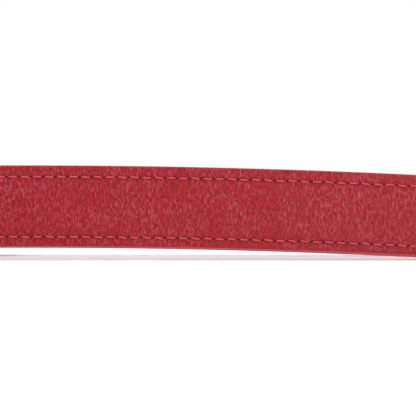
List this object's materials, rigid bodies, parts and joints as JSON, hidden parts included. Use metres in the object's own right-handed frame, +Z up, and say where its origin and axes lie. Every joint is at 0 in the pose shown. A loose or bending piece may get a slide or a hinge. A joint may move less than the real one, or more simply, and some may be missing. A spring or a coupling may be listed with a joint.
{
  "type": "guitar strap",
  "caption": "Narrow stitched leather guitar strap with a buckle and keyhole end tabs, coiled and standing on its edge.",
  "frame": {"origin": "middle of the coil's plan, on the plane that it stands on", "axes": "+X along the straight runs towards the bend away from the buckle, +Y from the buckled run towards the run with the tail tab, +Z up across the strap's width"},
  "size_m": [0.3318, 0.101, 0.0324],
  "materials": {
    "red_leather": "satin",
    "lining_leather": "matte",
    "thread": "satin",
    "tape": "matte",
    "nickel": "satin"
  },
  "bodies": {
    "strap": {"tail_front_leather": "red_leather", "tail_core_tape": "tape", "tail_lining_leather": "lining_leather", "tail_seam_thread_front": "thread", "tail_seam_thread_back": "thread", "tail_end_tab": "red_leather", "main_front_leather": "red_leather", "main_core_tape": "tape", "main_lining_leather": "lining_leather", "main_seam_thread_front": "thread", "main_seam_thread_back": "thread", "main_end_tab": "red_leather", "tab_rivets": "nickel", "buckle_turn": "red_leather", "turn_screw_posts": "nickel", "turn_screw_heads": "nickel", "fixed_keeper": "red_leather", "keeper_staple": "nickel"},
    "frame": {"buckle_frame": "nickel"},
    "roller": {"buckle_roller": "nickel"},
    "prong": {"buckle_prong": "nickel"},
    "slider": {"sliding_keeper": "red_leather"}
  },
  "joints": [
    {"name": "frame_hinge", "type": "hinge", "parent": "strap", "child": "frame", "pos_m": [-0.07165, -0.03696, 0.0162], "axis": [0, 0, -1], "range_deg": [0, 5]},
    {"name": "prong_hinge", "type": "hinge", "parent": "frame", "child": "prong", "pos_m": [-0.07165, -0.03696, 0.0162], "axis": [0, 0, -1], "range_deg": [0, 10]},
    {"name": "roller_spin", "type": "hinge", "parent": "frame", "child": "roller", "pos_m": [-0.04765, -0.04586, 0.0162], "axis": [0, 0, 1], "continuous": true},
    {"name": "keeper_slide", "type": "slide", "parent": "strap", "child": "slider", "axis": [1, 0, 0], "range_m": [-0.0065, 0.0135]}
  ]
}
